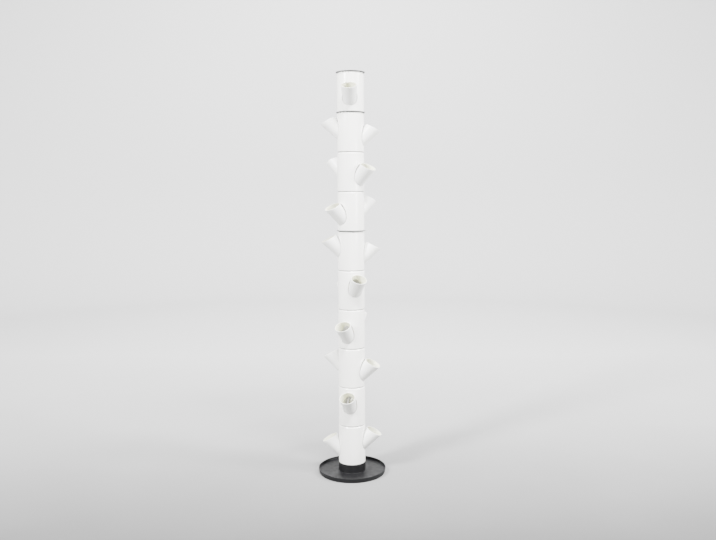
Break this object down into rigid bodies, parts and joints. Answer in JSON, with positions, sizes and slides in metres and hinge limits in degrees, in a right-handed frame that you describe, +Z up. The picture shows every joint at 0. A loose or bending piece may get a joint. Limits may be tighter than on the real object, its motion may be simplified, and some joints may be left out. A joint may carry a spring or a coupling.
{
  "type": "vertical planter tower",
  "caption": "Tall round planter tower of stacked, separately turning trunk segments with slanted planting spouts, standing in a shallow round water tray.",
  "frame": {"origin": "middle of the tray's underside, on the ground", "axes": "+Z up along the tower, -Y towards the front that the picture shows, +X to its right"},
  "size_m": [0.305, 0.305, 1.8027],
  "materials": {
    "trunk_plastic": "satin moulded white polypropylene",
    "spout_plastic": "satin moulded white polypropylene, a touch warmer",
    "tray_plastic": "fine-grained moulded anthracite",
    "disc_plastic": "matt moulded grey"
  },
  "bodies": {
    "base": {"base_tray": "tray_plastic"},
    "segment_01": {"trunk_01": "trunk_plastic", "spout_01_high": "spout_plastic", "spout_01_low": "spout_plastic"},
    "segment_02": {"trunk_02": "trunk_plastic", "spout_02_high": "spout_plastic", "spout_02_low": "spout_plastic"},
    "segment_03": {"trunk_03": "trunk_plastic", "spout_03_high": "spout_plastic", "spout_03_low": "spout_plastic"},
    "segment_04": {"trunk_04": "trunk_plastic", "spout_04_high": "spout_plastic", "spout_04_low": "spout_plastic"},
    "segment_05": {"trunk_05": "trunk_plastic", "spout_05_high": "spout_plastic", "spout_05_low": "spout_plastic"},
    "segment_06": {"trunk_06": "trunk_plastic", "spout_06_high": "spout_plastic", "spout_06_low": "spout_plastic"},
    "segment_07": {"trunk_07": "trunk_plastic", "spout_07_high": "spout_plastic", "spout_07_low": "spout_plastic", "water_disc_lower": "disc_plastic"},
    "segment_08": {"trunk_08": "trunk_plastic", "spout_08_high": "spout_plastic", "spout_08_low": "spout_plastic"},
    "segment_09": {"trunk_09": "trunk_plastic", "spout_09_high": "spout_plastic", "spout_09_low": "spout_plastic"},
    "segment_10": {"trunk_10": "trunk_plastic", "spout_10_high": "spout_plastic", "spout_10_low": "spout_plastic", "water_disc_upper": "disc_plastic"},
    "lid": {"top_disc": "disc_plastic"}
  },
  "joints": [
    {"name": "turn_01", "type": "hinge", "parent": "base", "child": "segment_01", "pos_m": [0, 0, 0.0473], "axis": [0, 0, 1], "continuous": true},
    {"name": "turn_02", "type": "hinge", "parent": "segment_01", "child": "segment_02", "pos_m": [0, 0, 0.2223], "axis": [0, 0, 1], "continuous": true},
    {"name": "turn_03", "type": "hinge", "parent": "segment_02", "child": "segment_03", "pos_m": [0, 0, 0.3973], "axis": [0, 0, 1], "continuous": true},
    {"name": "turn_04", "type": "hinge", "parent": "segment_03", "child": "segment_04", "pos_m": [0, 0, 0.5723], "axis": [0, 0, 1], "continuous": true},
    {"name": "turn_05", "type": "hinge", "parent": "segment_04", "child": "segment_05", "pos_m": [0, 0, 0.7473], "axis": [0, 0, 1], "continuous": true},
    {"name": "turn_06", "type": "hinge", "parent": "segment_05", "child": "segment_06", "pos_m": [0, 0, 0.9223], "axis": [0, 0, 1], "continuous": true},
    {"name": "turn_07", "type": "hinge", "parent": "segment_06", "child": "segment_07", "pos_m": [0, 0, 1.0992], "axis": [0, 0, 1], "continuous": true},
    {"name": "turn_08", "type": "hinge", "parent": "segment_07", "child": "segment_08", "pos_m": [0, 0, 1.2742], "axis": [0, 0, 1], "continuous": true},
    {"name": "turn_09", "type": "hinge", "parent": "segment_08", "child": "segment_09", "pos_m": [0, 0, 1.4492], "axis": [0, 0, 1], "continuous": true},
    {"name": "turn_10", "type": "hinge", "parent": "segment_09", "child": "segment_10", "pos_m": [0, 0, 1.6261], "axis": [0, 0, 1], "continuous": true},
    {"name": "lid_lift", "type": "slide", "parent": "segment_10", "child": "lid", "axis": [0, 0, 1], "range_m": [0, 0.03]}
  ]
}
